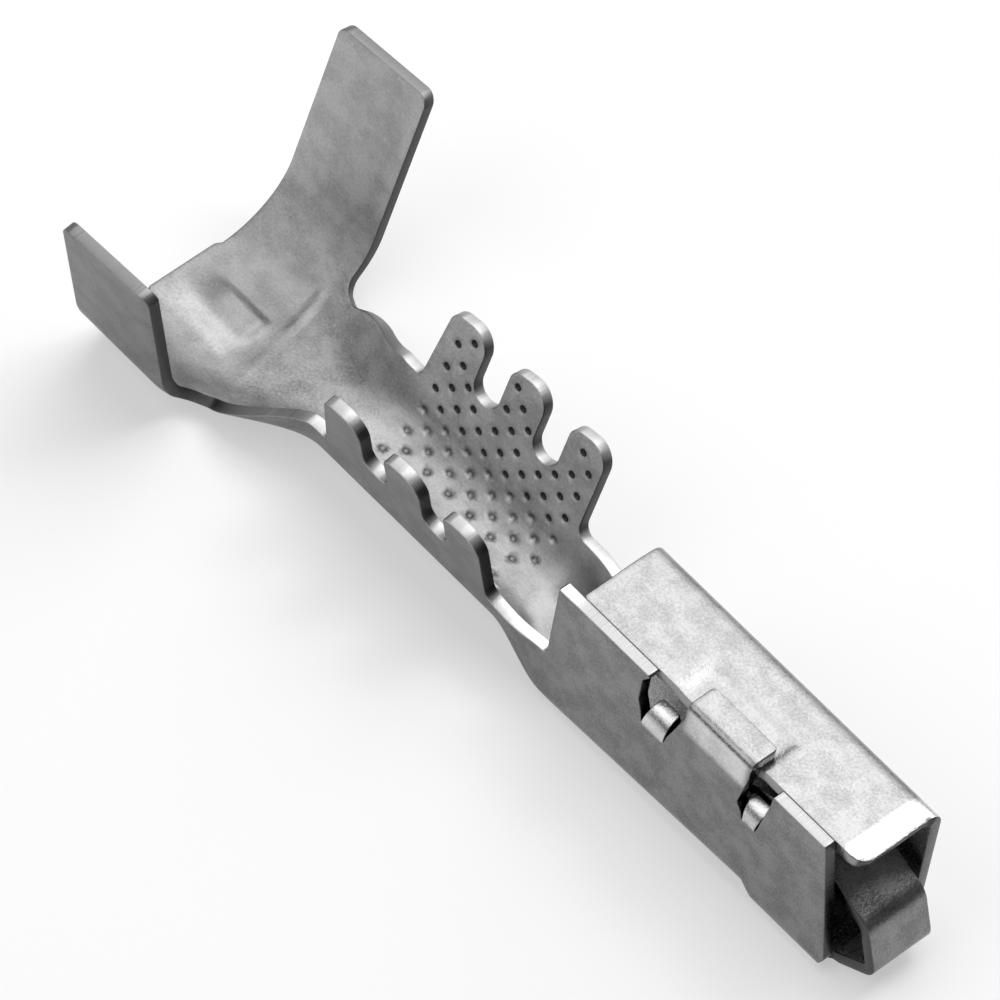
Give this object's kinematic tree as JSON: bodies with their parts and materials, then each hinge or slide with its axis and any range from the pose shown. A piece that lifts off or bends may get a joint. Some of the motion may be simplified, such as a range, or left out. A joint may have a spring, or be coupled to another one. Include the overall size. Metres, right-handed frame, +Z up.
{
  "type": "female terminal",
  "caption": "Folded sheet-metal crimp terminal: box receptacle with an inner spring tongue, scalloped wire grip and tall open insulation grip.",
  "frame": {"origin": "centre of the flat pad under the front of the box, on the plane that the terminal lies on", "axes": "+X towards the mating mouth, +Y towards the wall that the top panel is folded from, +Z up from the underside"},
  "size_m": [0.0216, 0.0078, 0.0057],
  "materials": {
    "tinned_sheet": "tin plated copper alloy, satin"
  },
  "bodies": {
    "root": {"terminal": "tinned_sheet"}
  },
  "joints": []
}
